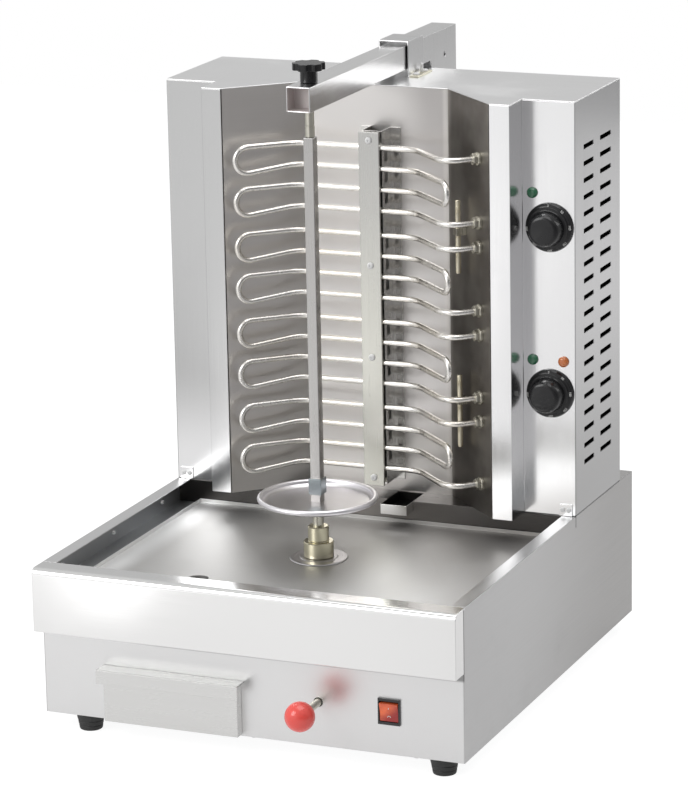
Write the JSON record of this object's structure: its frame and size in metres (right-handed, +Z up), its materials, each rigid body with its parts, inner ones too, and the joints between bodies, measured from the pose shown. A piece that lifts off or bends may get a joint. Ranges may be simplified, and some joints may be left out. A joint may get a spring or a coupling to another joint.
{
  "type": "vertical skewer grill",
  "caption": "Countertop vertical skewer grill with a motor-driven spit, tubular heaters in an angled reflector tower, drip pan and crumb drawer.",
  "frame": {"origin": "centre of the cabinet's footprint, on the worktop that the feet stand on", "axes": "+X to the right of someone facing the grill, +Y from the fascia to the back, +Z up"},
  "size_m": [0.48, 0.643, 0.7021],
  "materials": {
    "satin_steel": "satin brushed stainless",
    "mirror_steel": "bright polished stainless",
    "galvanised_steel": "dull galvanised sheet",
    "zinc": "zinc plated, slightly yellow",
    "heater_tube": "satin stainless tube, warm tint",
    "ceramic": "glazed white ceramic",
    "black_rubber": "matt black",
    "black_plastic": "semi-gloss black",
    "loom_sleeve": "woven glass sleeve",
    "thermostat_body": "pressed metal and ceramic",
    "green_lens": "clear green lens",
    "amber_lens": "clear amber lens",
    "red_lens": "clear red lens",
    "red_plastic": "glossy red phenolic",
    "motor_case": "grey enamel"
  },
  "bodies": {
    "body": {"cabinet_shell": "satin_steel", "fascia": "satin_steel", "rear_wall": "satin_steel", "bottom_plate": "galvanised_steel", "rear_deck": "satin_steel", "pan_ledges": "galvanised_steel", "ledge_rivets": "mirror_steel", "drip_pan": "satin_steel", "grease_lip": "mirror_steel", "rubber_feet": "black_rubber", "underside_screws": "zinc", "drawer_runners": "galvanised_steel", "slide_frame": "galvanised_steel", "switch_bezel": "black_plastic", "cable_gland": "black_plastic", "terminal_block": "ceramic", "wire_loom": "loom_sleeve", "casing_left": "satin_steel", "casing_right": "satin_steel", "heat_reflector": "mirror_steel", "top_plate": "satin_steel", "rear_cover": "satin_steel", "corner_tabs": "satin_steel", "panel_screws": "zinc", "arm_saddle": "satin_steel", "element_1": "heater_tube", "element_2": "heater_tube", "element_3": "heater_tube", "element_4": "heater_tube", "terminal_nuts": "zinc", "element_insulators": "ceramic", "holder_bar": "satin_steel", "holder_channel": "satin_steel", "sensor_bulbs": "mirror_steel", "sensor_clips": "zinc", "thermostats": "thermostat_body", "lamps_green": "green_lens", "lamp_amber": "amber_lens"},
    "rocker": {"rocker": "red_lens"},
    "upper_knob": {"knob_upper": "black_plastic"},
    "lower_knob": {"knob_lower": "black_plastic"},
    "drawer": {"drawer_tray": "satin_steel", "drawer_front": "satin_steel"},
    "carriage": {"motor_plate": "galvanised_steel", "gearmotor": "motor_case", "gearbox": "motor_case", "spindle_bearing": "zinc", "slot_cover": "satin_steel", "push_rod": "zinc", "red_ball": "red_plastic", "lower_link": "galvanised_steel", "rear_post": "satin_steel", "arm_tube": "satin_steel", "arm_nut": "zinc"},
    "spit": {"spindle": "zinc", "drive_hub": "zinc", "meat_disc": "mirror_steel", "spit_bar": "zinc"},
    "clamp_pivot": {"clamp_tip": "zinc"},
    "clamp_screw": {"clamp_knob": "black_plastic"}
  },
  "joints": [
    {"name": "carriage_slide", "type": "slide", "parent": "body", "child": "carriage", "axis": [0, 1, 0], "range_m": [0, 0.02]},
    {"name": "spit_spin", "type": "hinge", "parent": "carriage", "child": "spit", "pos_m": [0, -0.0685, 0.222], "axis": [0, 0, 1], "continuous": true},
    {"name": "clamp_lift", "type": "slide", "parent": "carriage", "child": "clamp_pivot", "axis": [0, 0, 1], "range_m": [0, 0.015]},
    {"name": "clamp_turn", "type": "hinge", "parent": "clamp_pivot", "child": "clamp_screw", "pos_m": [0, -0.0685, 0.692], "axis": [0, 0, 1], "range_deg": [0, 3600]},
    {"name": "drawer_slide", "type": "slide", "parent": "body", "child": "drawer", "axis": [0, -1, 0], "range_m": [0, 0.22]},
    {"name": "upper_knob_turn", "type": "hinge", "parent": "body", "child": "upper_knob", "pos_m": [0.211, 0.0875, 0.507], "axis": [0, 1, 0], "range_deg": [0, 300]},
    {"name": "lower_knob_turn", "type": "hinge", "parent": "body", "child": "lower_knob", "pos_m": [0.211, 0.0875, 0.3225], "axis": [0, 1, 0], "range_deg": [0, 300]},
    {"name": "rocker_tilt", "type": "hinge", "parent": "body", "child": "rocker", "pos_m": [0.1573, -0.2545, 0.0653], "axis": [1, 0, 0], "range_deg": [-16, 0]}
  ],
  "couplings": [
    {"joint": "clamp_turn", "follows": "clamp_lift", "rad_per_m": 4188.8}
  ]
}
